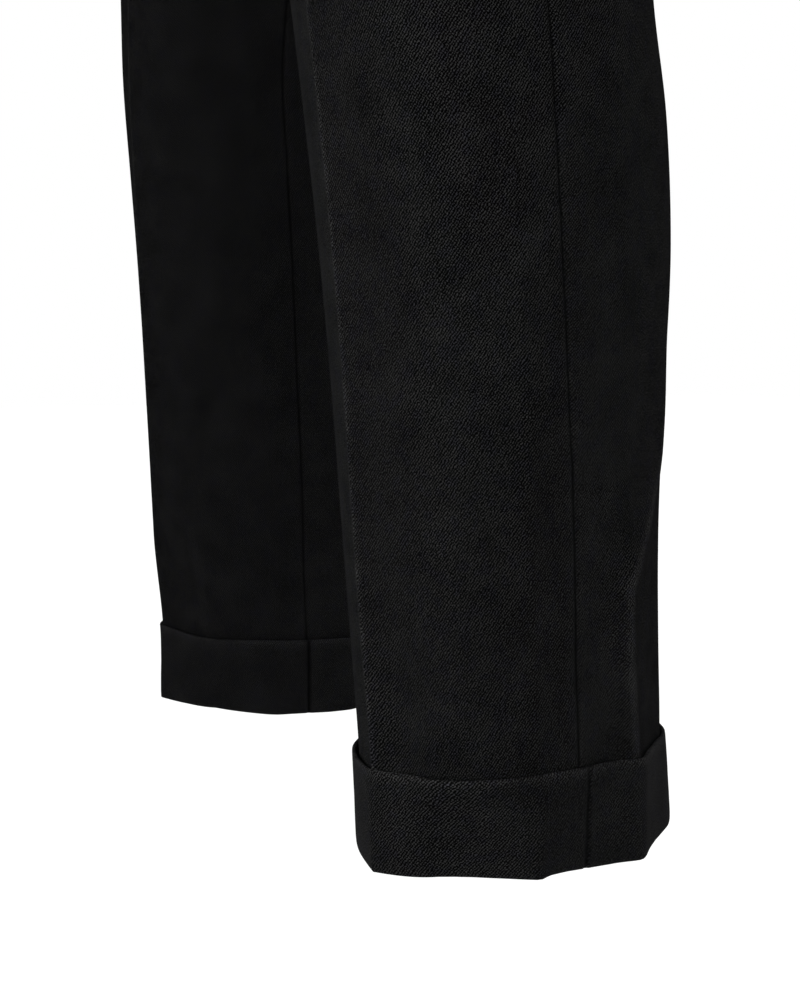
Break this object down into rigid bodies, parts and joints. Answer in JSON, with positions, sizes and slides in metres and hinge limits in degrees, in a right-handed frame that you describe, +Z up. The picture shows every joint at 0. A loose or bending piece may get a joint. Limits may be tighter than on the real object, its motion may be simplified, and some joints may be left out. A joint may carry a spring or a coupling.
{
  "type": "pleated trousers",
  "caption": "Black wool trousers with pleated fronts, pressed creases and turn-ups, filled out as worn.",
  "frame": {"origin": "centre of the waist, half way up the waistband, where the wearer holds the trousers up", "axes": "+Z up along the wearer; the wearer faces -Y; the wearer's left is +X"},
  "size_m": [0.3932, 0.2539, 0.98],
  "materials": {
    "cloth": "matte wool twill",
    "button": "satin"
  },
  "bodies": {
    "root": {"front_left": "cloth", "front_right": "cloth", "back_left": "cloth", "back_right": "cloth", "cuff_left": "cloth", "cuff_right": "cloth", "waistband": "cloth", "fly_underlap": "cloth", "waist_button": "button"}
  },
  "joints": []
}
